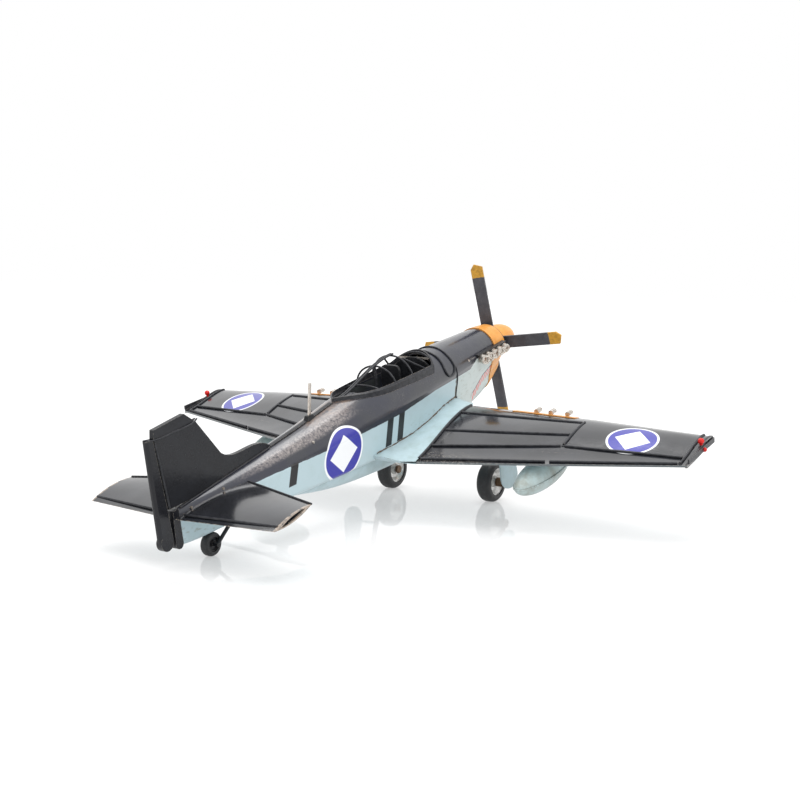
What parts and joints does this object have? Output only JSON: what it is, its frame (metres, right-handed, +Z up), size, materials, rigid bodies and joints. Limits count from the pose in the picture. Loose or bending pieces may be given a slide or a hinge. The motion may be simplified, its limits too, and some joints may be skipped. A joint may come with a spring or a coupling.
{
  "type": "propeller plane model",
  "caption": "Handmade sheet-metal desk model of a single-engine low-wing fighter, with a spinning propeller and three rolling wheels.",
  "frame": {"origin": "on the ground plane, under the middle of the model's length and span", "axes": "+X forward towards the propeller, +Y to port, +Z up; the airframe stands nose-up by 12 degrees on its three wheels"},
  "size_m": [0.2724, 0.2856, 0.1149],
  "materials": {
    "fuselage_paint": "semi-gloss enamel, dark above and pale below",
    "wing_paint": "semi-gloss enamel, dark above and pale below",
    "dark_paint": "semi-gloss enamel",
    "pale_paint": "semi-gloss enamel",
    "tank_paint": "semi-gloss enamel, rubbed and rusty in places",
    "frame_paint": "worn enamel over soldered wire",
    "orange_paint": "semi-gloss enamel",
    "black_paint": "satin enamel",
    "blade_paint": "satin enamel with ochre tips",
    "cockpit_paint": "flat enamel",
    "deck_grey": "flat enamel",
    "bare_steel": "bare, tarnished",
    "exhaust_steel": "bare, rusty",
    "leg_steel": "bare, rusty",
    "hub_silver": "turned, tarnished",
    "brass_bush": "turned",
    "tyre_rubber": "matt, scuffed",
    "red_lamp": "gloss"
  },
  "bodies": {
    "airframe": {"aerial_mast": "bare_steel", "belly_scoop": "pale_paint", "canopy_hoops": "frame_paint", "canopy_spine": "frame_paint", "coaming": "frame_paint", "cockpit_floor": "cockpit_paint", "cockpit_post": "frame_paint", "cowl_wires": "frame_paint", "drop_tank_left": "tank_paint", "drop_tank_right": "tank_paint", "exhaust_lips": "black_paint", "exhaust_stubs": "exhaust_steel", "fin": "dark_paint", "fin_wires": "frame_paint", "fuselage_left": "fuselage_paint", "fuselage_right": "fuselage_paint", "gear_door_left": "pale_paint", "gear_door_right": "pale_paint", "gun_barrels": "exhaust_steel", "instrument_panel": "black_paint", "leading_edge_bands": "orange_paint", "main_leg_left": "leg_steel", "main_leg_right": "leg_steel", "mast_foot": "black_paint", "nose_bulkhead": "black_paint", "nose_hairpin": "frame_paint", "nose_ring": "orange_paint", "rivets": "bare_steel", "rudder": "dark_paint", "seat": "black_paint", "shaft_bush": "brass_bush", "spine_strip": "dark_paint", "stern_post": "dark_paint", "tail_strut": "black_paint", "tailplane_left": "wing_paint", "tailplane_right": "wing_paint", "tailplane_wires": "frame_paint", "tank_pylons": "pale_paint", "tip_lights": "red_lamp", "tip_plates": "frame_paint", "turtle_deck": "deck_grey", "wheel_retainers": "leg_steel", "windshield_bar": "bare_steel", "windshield_frame": "frame_paint", "wing_fillet_left": "pale_paint", "wing_fillet_right": "pale_paint", "wing_left": "wing_paint", "wing_right": "wing_paint", "wing_wires_left": "frame_paint", "wing_wires_right": "frame_paint"},
    "propeller": {"propeller_shaft": "bare_steel", "propeller_blades": "blade_paint", "spinner": "orange_paint"},
    "left_wheel": {"tyre_left": "tyre_rubber", "wheel_hub_left": "hub_silver"},
    "right_wheel": {"tyre_right": "tyre_rubber", "wheel_hub_right": "hub_silver"},
    "tail_wheel": {"tail_tyre": "tyre_rubber", "tail_hub": "black_paint"}
  },
  "joints": [
    {"name": "propeller_spin", "type": "hinge", "parent": "airframe", "child": "propeller", "pos_m": [0.11623, 0, 0.074], "axis": [0.9781, 0, 0.2079], "continuous": true},
    {"name": "left_wheel_spin", "type": "hinge", "parent": "airframe", "child": "left_wheel", "pos_m": [0.06921, 0.0292, 0.01], "axis": [0, 1, 0], "continuous": true},
    {"name": "right_wheel_spin", "type": "hinge", "parent": "airframe", "child": "right_wheel", "pos_m": [0.06921, -0.0292, 0.01], "axis": [0, 1, 0], "continuous": true},
    {"name": "tail_wheel_spin", "type": "hinge", "parent": "airframe", "child": "tail_wheel", "pos_m": [-0.10011, 0, 0.0048], "axis": [0, 1, 0], "continuous": true}
  ]
}
